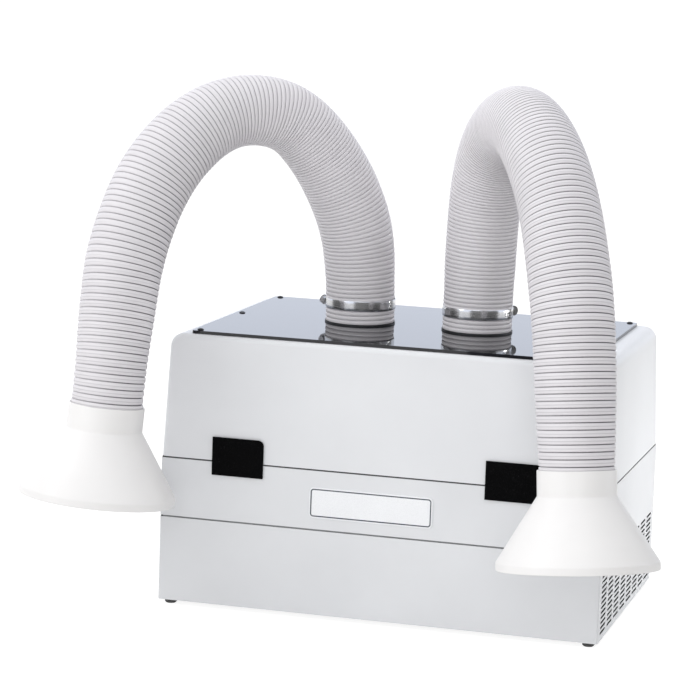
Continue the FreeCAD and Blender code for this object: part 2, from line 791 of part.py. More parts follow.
# Deck, blower wheel and motor
def make_blower():
    rails = []
    for name, side in sides.items():
        limits = sorted((f"{side} * halfInside", f"{side} * (halfInside - railWidth)"), key=number)
        hollow = sorted((f"{side} * (halfInside - railThickness)", f"{side} * (halfInside - 2 * railWidth)"),
                        key=number)
        bar = block(name + "_rail_bar", limits, centred("halfInsideDepth - railEndGap"),
                    ("deckBottom - railHeight", "deckBottom"))
        relief = block(name + "_rail_relief", hollow, centred("caseDepth"),
                       ("deckBottom - 2 * railHeight", "deckBottom - railThickness"))
        rails.append(cut(name + "_rail", bar, relief))
    keep(group("deck_rails", *rails))

    deck = block("deck_sheet", centred("halfInside"), centred("halfInsideDepth"), ("deckBottom", "deckTop"))
    rim = "eyeRadius + eyeWall + eyeFlare"
    throat = cylinder("deck_throat", rim, "3 * deckThickness", z="deckBottom - deckThickness")
    keep(cut("blower_deck", deck, throat))

    keep(turned("inlet_ring", [
        ("eyeRadius", "eyeBottom"), ("eyeRadius + eyeWall", "eyeBottom"),
        ("eyeRadius + eyeWall", "deckBottom - eyeFlare / 2"), (f"{rim} - eyeWall", "deckBottom"),
        (f"{rim} - eyeWall", "deckTop"), (f"{rim} + eyeFlange", "deckTop"),
        (f"{rim} + eyeFlange", "deckTop + eyeWall"), (f"{rim} - 2 * eyeWall", "deckTop + eyeWall"),
        (f"{rim} - 2 * eyeWall", "deckBottom + eyeWall"),
        ("eyeRadius", "deckBottom - eyeFlare / 2 + eyeWall")]))

    keep(turned("motor_stator", [
        ("shaftRadius + shaftPlay", "motorSeat"), ("statorFoot", "motorSeat"),
        ("statorFoot", "motorSeat + statorFootHeight"), ("statorRadius", "motorSeat + statorFootHeight"),
        ("statorRadius", "statorTop"), ("shaftRadius + shaftPlay", "statorTop")]))
    screw = turned("motor_screw", [
        ("0", "-motorPlateThickness / 2"), ("screwRadius", "-motorPlateThickness / 2"), ("screwRadius", "0"),
        ("screwHeadRadius", "0"), ("screwHeadRadius", "screwHeadHeight"), ("0", "screwHeadHeight")])
    count = int(number("motorScrewCount"))
    turns = [f"{index} * 360 / motorScrewCount + motorScrewTurn" for index in range(count)]
    spots = [(f"motorScrewCircle * cos({turn})", f"motorScrewCircle * sin({turn})") for turn in turns]
    keep(copies("motor_screws", screw, [(x, y, "motorSeat") for x, y in spots]))
    disc = turned("motor_disc", [("statorRadius / 2", "panTop"), ("motorPlateRadius", "panTop"),
                                 ("motorPlateRadius", "motorSeat"), ("statorRadius / 2", "motorSeat")])
    drill = cylinder("motor_drill", "screwRadius", "motorPlateThickness")
    bores = copies("motor_bores", drill, [(x, y, "panTop + motorPlateThickness / 2") for x, y in spots])
    keep(cut("motor_plate", disc, bores))

    flange = "wheelBase - wheelPlate"
    skirt = "motorSeat + statorFootHeight + airGap"
    keep(turned("motor_rotor", [
        ("0", "motorSeat + shaftPlay"), ("shaftRadius", "motorSeat + shaftPlay"),
        ("shaftRadius", "statorTop + airGap"), ("rotorInner", "statorTop + airGap"),
        ("rotorInner", skirt), ("rotorOuter", skirt), ("rotorOuter", flange),
        ("rotorOuter + rotorFlange", flange), ("rotorOuter + rotorFlange", "wheelBase"),
        ("rotorOuter", "wheelBase"), ("rotorOuter", "rotorTop"), ("0", "rotorTop")]))
    keep(make_wheel())


def make_wheel():
    """Backward-curved blower wheel: back plate, blades and a raked front shroud with its eye."""
    base = number("wheelBase")
    plate = number("wheelPlate")
    rim = number("wheelRadius")
    eye = number("wheelEye")
    lip = number("wheelTop")
    shoulder = lip - number("wheelLip") - number("eyeWall")
    edge = shoulder - number("wheelRake")
    wall = number("eyeWall")

    def revolve(outline):
        corners = [Vector(radius, 0, height) for radius, height in outline]
        return Part.Face(Part.makePolygon(corners + corners[:1])).revolve(Vector(), Vector(0, 0, 1), 360)

    bore = number("wheelBore")
    disc = revolve([(bore, base), (rim, base), (rim, base + plate), (bore, base + plate)])
    shroud = revolve([(eye, shoulder), (rim, edge), (rim, edge + wall), (eye + wall, shoulder + wall),
                      (eye + wall, lip), (eye, lip)])
    inner = number("bladeInner")
    ceiling = min(shoulder, number("eyeBottom - bladeGap"))
    envelope = revolve([(inner, base + plate), (rim, base + plate), (rim, edge + wall / 2),
                        (eye, shoulder + wall / 2), (eye, ceiling), (inner, ceiling)])
    curve = number("bladeRadius")
    # each blade is a slice of a tube that crosses the wheel from its inner circle to its rim
    centre = Vector(0, math.sqrt(inner ** 2 + curve ** 2 - inner * curve), base)
    tube = Part.makeCylinder(curve + number("bladeThickness"), lip - base, centre)
    blade = tube.cut(Part.makeCylinder(curve, lip - base, centre))
    half = Part.makeBox(2 * rim, 4 * rim, lip - base, Vector(0, -2 * rim, base))
    blade = blade.common(half).common(envelope)
    wheel = disc.fuse(shroud)
    count = int(number("bladeCount"))
    blades = []
    for index in range(count):
        vane = blade.copy()
        vane.rotate(Vector(), Vector(0, 0, 1), 360 * index / count)
        blades.append(vane)
    return solid("impeller", wheel.multiFuse(blades).removeSplitter())


# Filter stack
def make_filters():
    half_x = "filterWidth / 2"
    half_y = "filterDepth / 2"

    def ring(name, inset, low, high, width):
        outer = block(name + "_outer", centred(f"{half_x} - {inset}"), centred(f"{half_y} - {inset}"),
                      (low, high))
        hole = block(name + "_hole", centred(f"{half_x} - {inset} - {width}"),
                     centred(f"{half_y} - {inset} - {width}"), (f"{low} - cutOver", f"{high} + cutOver"))
        return cut(name, outer, hole)

    def cassette(name, low, high):
        """A tray frame: side walls with an inward lip at the bottom."""
        outer = block(name + "_case", centred(half_x), centred(half_y), (low, high))
        hollow = block(name + "_hollow", centred(f"{half_x} - frameWall"), centred(f"{half_y} - frameWall"),
                       (f"{low} + frameLip", f"{high} + cutOver"))
        window = block(name + "_window", centred(f"{half_x} - 2 * frameWall"),
                       centred(f"{half_y} - 2 * frameWall"), (f"{low} - cutOver", f"{low} + 2 * frameLip"))
        return cut(name, outer, hollow, window)

    keep(ring("filter_gasket", "frameLip", "deckTop", "stackFloor", "gasketWidth"))
    keep(cassette("carbon_frame", "stackFloor", "carbonTop"))
    keep(block("carbon_bed", centred(f"{half_x} - frameWall - filterPlay"),
               centred(f"{half_y} - frameWall - filterPlay"),
               ("stackFloor + frameLip", "carbonTop - frameLip")))
    keep(ring("hepa_gasket", "0", "carbonTop", "hepaFloor", "frameWall"))
    keep(cassette("hepa_frame", "hepaFloor", "hepaTop"))
    keep(make_pleats())
    keep(block("prefilter_pad", centred(half_x), centred(half_y), ("hepaTop", "hepaTop + prefilterHeight")))


def make_pleats():
    """Folded filter paper: a zigzag of even thickness across the width of its frame."""
    low = number("hepaFloor + frameLip")
    high = number("hepaTop - frameLip")
    half = number("filterWidth / 2 - frameWall - filterPlay")
    depth = number("filterDepth / 2 - frameWall - filterPlay")
    thickness = number("pleatThickness")
    folds = 2 * int(2 * (half - thickness) / number("pleatPitch"))
    step = 2 * (half - thickness / 2) / folds
    crossing = thickness / 2 * math.hypot(step, high - low) / (high - low)
    fall = crossing * (high - low) / step
    ahead = []
    behind = []
    for fold in range(folds + 1):
        x = -half + thickness / 2 + fold * step
        upper = high if fold % 2 else low + fall
        lower = high - fall if fold % 2 else low
        ahead.append(Vector(x, -depth, upper))
        behind.append(Vector(x, -depth, lower))
    outline = ahead + behind[::-1] + ahead[:1]
    return solid("hepa_pleats", Part.Face(Part.makePolygon(outline)).extrude(Vector(0, 2 * depth, 0)))


# Power entry
def make_power():
    def spread(place, half):
        return f"{place} - ({half})", f"{place} + ({half})"

    flange = block("inlet_flange", spread("inletPlace", "inletWidth / 2 + inletFlange"),
                   ("rearFace", "rearFace + inletFlangeThickness"),
                   spread("powerHeight", "inletHeight / 2 + inletFlange"))
    shell = block("inlet_shell", spread("inletPlace", "inletWidth / 2"),
                  ("rearFace + inletFlangeThickness - inletDepth", "rearFace + inletFlangeThickness / 2"),
                  spread("powerHeight", "inletHeight / 2"))
    well = block("inlet_well", spread("inletPlace", "wellWidth / 2"),
                 ("rearFace + inletFlangeThickness - wellDepth", "rearFace + 2 * inletFlangeThickness"),
                 spread("powerHeight", "wellHeight / 2"))
    keep(cut("power_inlet", fuse("inlet_body", flange, shell), well))
    pins = []
    floor = "rearFace + inletFlangeThickness - wellDepth"
    for name, across, up in (("live", "pinSpacing", "0"), ("neutral", "-pinSpacing", "0"),
                             ("earth", "0", "earthOffset")):
        pins.append(block(name + "_pin", spread(f"inletPlace + {across}", "pinWidth / 2"),
                          (floor, f"{floor} + pinLength"),
                          spread(f"powerHeight + {up}", "pinHeight / 2")))
    keep(group("inlet_pins", *pins))

    lip = block("bezel_lip", spread("switchPlace", "bezelHalfWidth + bezelWall + bezelLip"),
                ("rearFace", "rearFace + bezelLipThickness"),
                spread("powerHeight", "bezelHalfHeight + bezelWall + bezelLip"))
    sleeve = block("bezel_sleeve", spread("switchPlace", "bezelHalfWidth + bezelWall"),
                   ("rearFace + bezelLipThickness - bezelDepth", "rearFace + bezelLipThickness / 2"),
                   spread("powerHeight", "bezelHalfHeight + bezelWall"))
    bezel_back = "rearFace + bezelLipThickness - bezelDepth"
    opening = block("bezel_opening", spread("switchPlace", "bezelHalfWidth"),
                    (f"{bezel_back} + bezelWall", "rearFace + 2 * bezelLipThickness"),
                    spread("powerHeight", "bezelHalfHeight"))
    pivot = cylinder("pivot_pin", "pivotRadius", "2 * bezelHalfWidth + bezelWall",
                     "switchPlace - bezelHalfWidth - bezelWall / 2", "pivotDepth", "powerHeight")
    pivot.Placement = Placement(pivot.Placement.Base, Rotation(Vector(0, 1, 0), 90))
    keep(fuse("switch_bezel", cut("bezel_frame", fuse("bezel_body", lip, sleeve), opening), pivot))
    keep(make_rocker())


def make_rocker():
    """Rocker in its off position: a round-backed block with a shallow valley in its face."""
    radius = number("rockerRadius")
    width = number("rockerWidth")
    angle = number("rockerAngle")
    face = number("rockerFace")
    across = Vector(1, 0, 0)
    start = Vector(-width / 2, 0, 0)
    drum = Part.makeCylinder(radius, width, start, across)
    rise = 2 * radius * math.tan(math.radians(angle))
    valley = [Vector(-width / 2, face, 0), Vector(-width / 2, face + rise, 2 * radius),
              Vector(-width / 2, 3 * radius, 2 * radius), Vector(-width / 2, 3 * radius, -2 * radius),
              Vector(-width / 2, face + rise, -2 * radius)]
    cutter = Part.Face(Part.makePolygon(valley + valley[:1])).extrude(across * width)
    back = Part.makeBox(width, 2 * radius, 2 * radius, Vector(-width / 2, -2 * radius - face, -radius))
    hole = Part.makeCylinder(number("pivotRadius + pivotPlay"), width, start, across)
    rocker = drum.cut(cutter).cut(back).cut(hole)
    place = Vector(number("switchPlace"), number("pivotDepth"), number("powerHeight"))
    return solid("rocker", rocker, Placement(place, Rotation(across, -angle)))


make_base()
make_lid()
make_top()
make_arms()
make_tabs()
make_blower()
make_filters()
make_power()
doc.recompute()

for item in doc.Objects:
    if "Invalid" in item.State or "Error" in item.State:
        raise RuntimeError(f"{item.Label} did not build: {item.State}")
for piece in subparts:
    if piece.Shape.isNull() or not piece.Shape.isValid():
        raise RuntimeError(f"{piece.Label} has no valid shape")

os.makedirs("parts", exist_ok=True)
for piece in subparts:
    piece.Shape.exportStep(f"parts/{piece.Label}.step")
print(f"{len(subparts)} sub-parts written")
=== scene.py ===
import bisect
import json
import math
import bmesh
import bpy
from mathutils import Matrix, Vector, noise


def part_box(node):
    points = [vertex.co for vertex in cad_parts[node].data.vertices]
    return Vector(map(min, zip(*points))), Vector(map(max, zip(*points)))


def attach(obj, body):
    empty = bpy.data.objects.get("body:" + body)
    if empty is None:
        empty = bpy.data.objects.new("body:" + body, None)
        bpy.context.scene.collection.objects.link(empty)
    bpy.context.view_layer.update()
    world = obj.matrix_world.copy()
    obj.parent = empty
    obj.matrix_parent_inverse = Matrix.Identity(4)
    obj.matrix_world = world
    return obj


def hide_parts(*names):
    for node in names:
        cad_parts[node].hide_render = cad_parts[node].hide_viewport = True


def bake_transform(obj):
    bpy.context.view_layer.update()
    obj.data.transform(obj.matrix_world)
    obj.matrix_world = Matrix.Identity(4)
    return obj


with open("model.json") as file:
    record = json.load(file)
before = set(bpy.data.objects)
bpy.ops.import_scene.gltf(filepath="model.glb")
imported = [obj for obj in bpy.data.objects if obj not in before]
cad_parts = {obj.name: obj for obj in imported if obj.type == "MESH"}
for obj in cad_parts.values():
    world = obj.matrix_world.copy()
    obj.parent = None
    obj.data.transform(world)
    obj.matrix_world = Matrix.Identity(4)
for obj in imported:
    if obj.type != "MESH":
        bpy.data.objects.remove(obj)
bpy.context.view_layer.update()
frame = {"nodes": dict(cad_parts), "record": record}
nodes = frame["nodes"]
scene = bpy.context.scene
scene.view_settings.view_transform = "Standard"
print("frame loaded:", len(nodes), "nodes")

photoCamera = {  # stands where the photograph was taken
    "place": (0.8475, -3.4020, 0.8585),
    "right": (0.9618, 0.2716, 0.0357),
    "up": (-0.0757, 0.1382, 0.9875),
    "lens": 142.92,
    "sensor": 36.0,
}


def placeCamera(spec):
    data = bpy.data.cameras.new("photoCamera")
    data.lens = spec["lens"]
    data.sensor_width = spec["sensor"]
    data.clip_start = 0.1
    data.clip_end = 120.0
    camera = bpy.data.objects.new("photoCamera", data)
    scene.collection.objects.link(camera)
    right = Vector(spec["right"]).normalized()
    back = right.cross(Vector(spec["up"])).normalized()
    turn = Matrix((right, back.cross(right), back)).transposed().to_4x4()
    camera.matrix_world = Matrix.Translation(spec["place"]) @ turn
    scene.camera = camera


placeCamera(photoCamera)


# shader helpers
def setSocket(tree, socket, value):
    if isinstance(value, bpy.types.NodeSocket):
        tree.links.new(value, socket)
    else:
        socket.default_value = value


def addNode(tree, kind, sockets=None, **settings):
    node = tree.nodes.new("ShaderNode" + kind)
    for key, value in settings.items():
        setattr(node, key, value)
    for key, value in (sockets or {}).items():
        setSocket(tree, node.inputs[key], value)
    return node


def mixColour(tree, share, low, high, blend="MIX"):
    node = addNode(tree, "Mix", data_type="RGBA", blend_type=blend)
    for index, value in ((0, share), (6, low), (7, high)):
        setSocket(tree, node.inputs[index], value)
    return node.outputs[2]


def ranged(tree, value, low, high, fromLow=0.0, fromHigh=1.0):
    node = addNode(tree, "MapRange", {"Value": value, "From Min": fromLow, "From Max": fromHigh,
                                      "To Min": low, "To Max": high})
    return node.outputs["Result"]


def reckon(tree, operation, first, second=0.0):
    return addNode(tree, "Math", {0: first, 1: second}, operation=operation).outputs[0]


def stretched(tree, where, scale):
    return addNode(tree, "Mapping", {"Vector": where, "Scale": scale}).outputs["Vector"]


def noisy(tree, where, scale, detail=3.0):
    return addNode(tree, "TexNoise", {"Vector": where, "Scale": scale, "Detail": detail}).outputs["Fac"]


def opaque(colour):
    return (*colour, 1.0)


def grainGroup():  # fine grain, broad mottling and settled dust, shared by all finishes
    group = bpy.data.node_groups.new("surfaceGrain", "ShaderNodeTree")
    for name, kind in (("Vector", "NodeSocketVector"), ("Fine", "NodeSocketFloat"), ("Broad", "NodeSocketFloat")):
        group.interface.new_socket(name, in_out="INPUT", socket_type=kind)
    for name in ("Grain", "Mottle", "Dust"):
        group.interface.new_socket(name, in_out="OUTPUT", socket_type="NodeSocketFloat")
    entry = group.nodes.new("NodeGroupInput")
    leave = group.nodes.new("NodeGroupOutput")
    where = entry.outputs["Vector"]
    upward = addNode(group, "SeparateXYZ", {"Vector": addNode(group, "NewGeometry").outputs["Normal"]})
    level = ranged(group, upward.outputs["Z"], 0.0, 1.0, 0.55, 0.98)
    spots = ranged(group, noisy(group, where, 260.0, 4.0), 0.0, 1.0, 0.56, 0.74)
    setSocket(group, leave.inputs["Grain"], noisy(group, where, entry.outputs["Fine"]))
    setSocket(group, leave.inputs["Mottle"], noisy(group, where, entry.outputs["Broad"], 5.0))
    setSocket(group, leave.inputs["Dust"], reckon(group, "MULTIPLY", level, spots))
    return group


surfaceGrain = grainGroup()


def startMaterial(name):
    material = bpy.data.materials.new(name)
    material.use_nodes = True
    tree = material.node_tree
    return material, tree, tree.nodes["Principled BSDF"], addNode(tree, "TexCoord").outputs["Object"]


def addGrain(tree, where, fine, broad):
    return addNode(tree, "Group", {"Vector": where, "Fine": fine, "Broad": broad}, node_tree=surfaceGrain)


def addBump(tree, shader, height, strength, distance):
    bump = addNode(tree, "Bump", {"Height": height, "Strength": strength, "Distance": distance})
    setSocket(tree, shader.inputs["Normal"], bump.outputs["Normal"])


def mouldedFinish(name, spec):  # paint, plastic, rubber and plain metal
    material, tree, shader, where = startMaterial(name)
    grain = addGrain(tree, where, spec["fine"], spec["broad"])
    tint = mixColour(tree, ranged(tree, grain.outputs["Mottle"], 0.0, 1.0, 0.3, 0.7),
                     opaque(spec["dark"]), opaque(spec["light"]))
    if "inside" in spec:  # painted shade: faces behind the outer surface, in the slots and seams, turn near black
        insideShade = spec["inside"]
        axes = addNode(tree, "SeparateXYZ", {"Vector": where})
        across = reckon(tree, "GREATER_THAN", reckon(tree, "ABSOLUTE", axes.outputs["X"]), insideShade["halfWidth"])
        along = reckon(tree, "GREATER_THAN", reckon(tree, "ABSOLUTE", axes.outputs["Y"]), insideShade["halfDepth"])
        tint = mixColour(tree, reckon(tree, "MAXIMUM", across, along), opaque(insideShade["colour"]), tint)
    dusty = ranged(tree, grain.outputs["Dust"], 0.0, spec.get("dust", 0.0))
    setSocket(tree, shader.inputs["Base Color"], mixColour(tree, dusty, tint, (0.45, 0.44, 0.42, 1.0)))
    low, high = spec["rough"]
    setSocket(tree, shader.inputs["Roughness"], ranged(tree, grain.outputs["Grain"], low, high, 0.25, 0.75))
    addBump(tree, shader, grain.outputs["Grain"], spec["bump"], 0.0002)
    shader.inputs["Metallic"].default_value = spec.get("metal", 0.0)
    shader.inputs["Specular IOR Level"].default_value = spec.get("specular", 0.5)
    return material


def brushedFinish(name, spec):  # rolled or turned metal with lines along one direction
    material, tree, shader, where = startMaterial(name)
    grain = addGrain(tree, where, spec["fine"], spec["broad"])
    lines = noisy(tree, stretched(tree, where, spec["stretch"]), 1.0, 4.0)
    tone = reckon(tree, "ADD", reckon(tree, "MULTIPLY", lines, 0.6),
                  reckon(tree, "MULTIPLY", grain.outputs["Mottle"], 0.4))
    setSocket(tree, shader.inputs["Base Color"], mixColour(tree, ranged(tree, tone, 0.0, 1.0, 0.3, 0.7),
                                                           opaque(spec["dark"]), opaque(spec["light"])))
    low, high = spec["rough"]
    setSocket(tree, shader.inputs["Roughness"], ranged(tree, lines, low, high, 0.3, 0.7))
    addBump(tree, shader, lines, spec["bump"], 0.00008)
    shader.inputs["Metallic"].default_value = 1.0
    return material


def acrylicFinish(name, spec):  # gloss sheet with hairline scratches, smears and a little dust
    material, tree, shader, where = startMaterial(name)
    grain = addGrain(tree, where, spec["fine"], spec["broad"])
    hair = noisy(tree, stretched(tree, where, (45.0, 900.0, 45.0)), 1.0, 2.0)
    scratch = ranged(tree, hair, 0.0, 1.0, 0.70, 0.76)
    smear = ranged(tree, grain.outputs["Mottle"], 0.0, 1.0, 0.52, 0.75)
    tint = mixColour(tree, smear, opaque(spec["dark"]), opaque(spec["light"]))
    dusty = ranged(tree, grain.outputs["Dust"], 0.0, spec["dust"])
    setSocket(tree, shader.inputs["Base Color"], mixColour(tree, dusty, tint, (0.40, 0.40, 0.42, 1.0)))
    low, high = spec["rough"]
    rough = reckon(tree, "ADD", ranged(tree, smear, low, high), reckon(tree, "MULTIPLY", scratch, 0.08))
    setSocket(tree, shader.inputs["Roughness"], rough)
    addBump(tree, shader, scratch, 0.02, 0.00005)
    return material


def textileFinish(name, spec):  # brushed loops, or stiff hooks, on a woven backing
    material, tree, shader, where = startMaterial(name)
    grain = addGrain(tree, where, spec["fine"], spec["broad"])
    loops = addNode(tree, "TexVoronoi", {"Vector": where, "Scale": spec["loops"]}, feature="F1").outputs["Distance"]
    lint = ranged(tree, noisy(tree, where, spec["lint"], 2.0), 0.0, 1.0, 0.66, 0.74)
    pile = reckon(tree, "MULTIPLY", ranged(tree, loops, 1.0, 0.0, 0.0, 0.6), grain.outputs["Grain"])
    tint = mixColour(tree, ranged(tree, pile, 0.0, 1.0, 0.15, 0.6), opaque(spec["dark"]), opaque(spec["light"]))
    setSocket(tree, shader.inputs["Base Color"], mixColour(tree, reckon(tree, "MULTIPLY", lint, 0.35), tint,
                                                           (0.06, 0.06, 0.063, 1.0)))
    setSocket(tree, shader.inputs["Roughness"], ranged(tree, pile, 0.98, 0.82))
    addBump(tree, shader, pile, 0.8, 0.0006)
    shader.inputs["Specular IOR Level"].default_value = 0.08
    return material


def grainyFinish(name, spec):  # packed granules of carbon
    material, tree, shader, where = startMaterial(name)
    bits = addNode(tree, "TexVoronoi", {"Vector": where, "Scale": spec["bits"]}, feature="F1")
    grain = addGrain(tree, where, spec["fine"], spec["broad"])
    height = ranged(tree, bits.outputs["Distance"], 1.0, 0.0, 0.0, 0.7)
    setSocket(tree, shader.inputs["Base Color"], mixColour(tree, reckon(tree, "MULTIPLY", height, grain.outputs["Mottle"]),
                                                           opaque(spec["dark"]), opaque(spec["light"])))
    setSocket(tree, shader.inputs["Roughness"], ranged(tree, grain.outputs["Grain"], 0.45, 0.9))
    addBump(tree, shader, height, 1.0, 0.0015)
    return material


def fibreFinish(name, spec):  # filter paper and felted pad: fibres lying three ways
    material, tree, shader, where = startMaterial(name)
    grain = addGrain(tree, where, spec["fine"], spec["broad"])
    layers = [noisy(tree, stretched(tree, where, scale), 1.0, 3.0)
              for scale in ((1400.0, 160.0, 160.0), (160.0, 1400.0, 160.0), (700.0, 700.0, 120.0))]
    fibres = reckon(tree, "MAXIMUM", reckon(tree, "MAXIMUM", layers[0], layers[1]), layers[2])
    tone = reckon(tree, "MULTIPLY", fibres, ranged(tree, grain.outputs["Mottle"], 0.8, 1.2, 0.3, 0.7))
    setSocket(tree, shader.inputs["Base Color"], mixColour(tree, ranged(tree, tone, 0.0, 1.0, 0.45, 0.75),
                                                           opaque(spec["dark"]), opaque(spec["light"])))
    setSocket(tree, shader.inputs["Roughness"], ranged(tree, fibres, 1.0, 0.85, 0.4, 0.8))
    addBump(tree, shader, fibres, spec["bump"], spec["depth"])
    shader.inputs["Specular IOR Level"].default_value = 0.2
    return material


def hoseFinish(name, spec):  # vinyl with painted shade in its grooves, stronger on the right-hand side; "rib" counts ribs along the hose, "groove" and "seam" mark lines
    material, tree, shader, where = startMaterial(name)
    grain = addGrain(tree, where, spec["fine"], spec["broad"])
    rib = addNode(tree, "Attribute", attribute_name="rib").outputs["Fac"]
    groove = addNode(tree, "Attribute", attribute_name="groove").outputs["Fac"]
    seam = addNode(tree, "Attribute", attribute_name="seam").outputs["Fac"]
    perRib = addNode(tree, "TexWhiteNoise", {"W": reckon(tree, "FLOOR", rib)}, noise_dimensions="1D").outputs["Value"]
    tone = reckon(tree, "MULTIPLY", grain.outputs["Mottle"], perRib)
    vinyl = mixColour(tree, tone, opaque(spec["light"]), opaque(spec["dark"]))
    middle = reckon(tree, "ABSOLUTE", reckon(tree, "SUBTRACT", reckon(tree, "FRACT", rib), spec["seamAt"]))
    faint = reckon(tree, "MULTIPLY", ranged(tree, middle, 1.0, 0.0, 0.02, spec["seamWidth"]), seam)
    vinyl = mixColour(tree, reckon(tree, "MULTIPLY", faint, spec["seamTone"]), vinyl, opaque(spec["line"]))
    # painted shade in the grooves, varied a little by the grain
    shadedGroove = reckon(tree, "MULTIPLY", groove, ranged(tree, grain.outputs["Grain"], 0.75, 1.0, 0.3, 0.7))
    setSocket(tree, shader.inputs["Base Color"], mixColour(tree, shadedGroove, vinyl, opaque(spec["line"])))
    low, high = spec["rough"]
    setSocket(tree, shader.inputs["Roughness"], ranged(tree, grain.outputs["Grain"], low, high, 0.25, 0.75))
    addBump(tree, shader, grain.outputs["Grain"], spec["bump"], 0.0002)
    return material


finishes = {
    "case_white": (mouldedFinish, {"dark": (0.70, 0.71, 0.73), "light": (0.74, 0.75, 0.77), "rough": (0.36, 0.48),
                                   "bump": 0.10, "fine": 900.0, "broad": 9.0,
                                   # the inner faces get near-black painted shade, darkening the slots and seams
                                   "inside": {"halfWidth": 0.2796, "halfDepth": 0.1842,
                                              "colour": (0.010, 0.010, 0.011)}}),
    "lid_white": (mouldedFinish, {"dark": (0.72, 0.73, 0.75), "light": (0.76, 0.77, 0.79), "rough": (0.34, 0.44),
                                  "bump": 0.06, "fine": 1500.0, "broad": 7.0}),
    # near black, far darker than the grey of the real inner parts: painted shade seen through the slots and seams
    "inner_metal": (mouldedFinish, {"dark": (0.06, 0.06, 0.065), "light": (0.09, 0.09, 0.095), "rough": (0.45, 0.6),
                                    "bump": 0.15, "fine": 800.0, "broad": 12.0}),
    "black_plastic": (mouldedFinish, {"dark": (0.010, 0.010, 0.011), "light": (0.020, 0.020, 0.022),
                                      "rough": (0.42, 0.6), "bump": 0.2, "fine": 1400.0, "broad": 20.0, "dust": 0.08}),
    "black_acrylic": (acrylicFinish, {"dark": (0.006, 0.006, 0.009), "light": (0.012, 0.012, 0.017),
                                      "rough": (0.03, 0.07), "fine": 60.0, "broad": 6.0, "dust": 0.02}),
    "nozzle_white": (mouldedFinish, {"dark": (0.81, 0.80, 0.795), "light": (0.84, 0.83, 0.825), "rough": (0.38, 0.5),
                                     "bump": 0.05, "fine": 1100.0, "broad": 14.0}),
    "hose_vinyl": (hoseFinish, {"dark": (0.66, 0.64, 0.665), "light": (0.72, 0.70, 0.725), "line": (0.11, 0.105, 0.115),
                                "rough": (0.42, 0.58), "bump": 0.12, "fine": 900.0, "broad": 30.0, "seamAt": 0.45,
                                "seamWidth": 0.09, "seamTone": 0.28}),
    "stainless": (brushedFinish, {"dark": (0.52, 0.52, 0.525), "light": (0.70, 0.70, 0.705), "rough": (0.17, 0.28),
                                  "bump": 0.15, "fine": 900.0, "broad": 60.0, "stretch": (40.0, 40.0, 1500.0)}),
    "dark_screw": (mouldedFinish, {"dark": (0.02, 0.02, 0.022), "light": (0.05, 0.05, 0.055), "rough": (0.3, 0.45),
                                   "bump": 0.1, "fine": 2400.0, "broad": 90.0, "metal": 0.6}),
    "textile_black": (textileFinish, {"dark": (0.0012, 0.0012, 0.0014), "light": (0.006, 0.006, 0.0065), "fine": 1500.0,
                                      "broad": 160.0, "loops": 900.0, "lint": 620.0}),
    "rubber_black": (mouldedFinish, {"dark": (0.05, 0.05, 0.05), "light": (0.09, 0.09, 0.09),
                                     "rough": (0.6, 0.8), "bump": 0.2, "fine": 1200.0, "broad": 40.0}),
    "motor_metal": (brushedFinish, {"dark": (0.36, 0.37, 0.38), "light": (0.52, 0.53, 0.54), "rough": (0.32, 0.46),
                                    "bump": 0.3, "fine": 700.0, "broad": 30.0, "stretch": (60.0, 60.0, 900.0)}),
    "filter_frame": (brushedFinish, {"dark": (0.46, 0.46, 0.47), "light": (0.58, 0.58, 0.59), "rough": (0.34, 0.48),
                                     "bump": 0.1, "fine": 900.0, "broad": 25.0, "stretch": (20.0, 20.0, 700.0)}),
    "carbon": (grainyFinish, {"dark": (0.004, 0.004, 0.004), "light": (0.04, 0.04, 0.04), "bits": 420.0,
                              "fine": 900.0, "broad": 90.0}),
    "filter_paper": (fibreFinish, {"dark": (0.70, 0.69, 0.64), "light": (0.82, 0.81, 0.77), "bump": 0.25,
                                   "depth": 0.0002, "fine": 1500.0, "broad": 30.0}),
    "filter_pad": (fibreFinish, {"dark": (0.60, 0.64, 0.66), "light": (0.80, 0.82, 0.83), "bump": 0.9,
                                 "depth": 0.001, "fine": 700.0, "broad": 60.0}),
    "pin_brass": (brushedFinish, {"dark": (0.60, 0.48, 0.26), "light": (0.76, 0.64, 0.38), "rough": (0.2, 0.32),
                                  "bump": 0.1, "fine": 1500.0, "broad": 120.0, "stretch": (1200.0, 80.0, 1200.0)}),
}
materials = {name: make(name, spec) for name, (make, spec) in finishes.items()}
slotOf = {row["node"]: row["material_slot"] for row in frame["record"]["subparts"]}
for name, node in nodes.items():
    node.data.materials.clear()
    node.data.materials.append(materials[slotOf[name]])
deckZinc = {"dark": (0.38, 0.39, 0.40), "light": (0.46, 0.47, 0.48), "rough": (0.4, 0.55), "bump": 0.12, "fine": 700.0,
            "broad": 45.0}  # the deck's edge shows in the seam below the front strip
nodes["blower_deck"].data.materials[0] = mouldedFinish("deck_zinc", deckZinc)
print("finishes:", len(materials))


# mesh helpers
def keepPiece(name, shape, body, slot, replaced=(), sharp=32.0):
    bmesh.ops.remove_doubles(shape, verts=shape.verts, dist=1e-6)
    bmesh.ops.recalc_face_normals(shape, faces=shape.faces)
    data = bpy.data.meshes.new(name)
    shape.to_mesh(data)
    shape.free()
    data.shade_smooth()
    data.set_sharp_from_angle(angle=math.radians(sharp))
    data.materials.append(materials[slot])
    piece = bpy.data.objects.new(name, data)
    scene.collection.objects.link(piece)
    if body:
        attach(piece, body)
    if replaced:
        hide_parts(*replaced)
    return piece


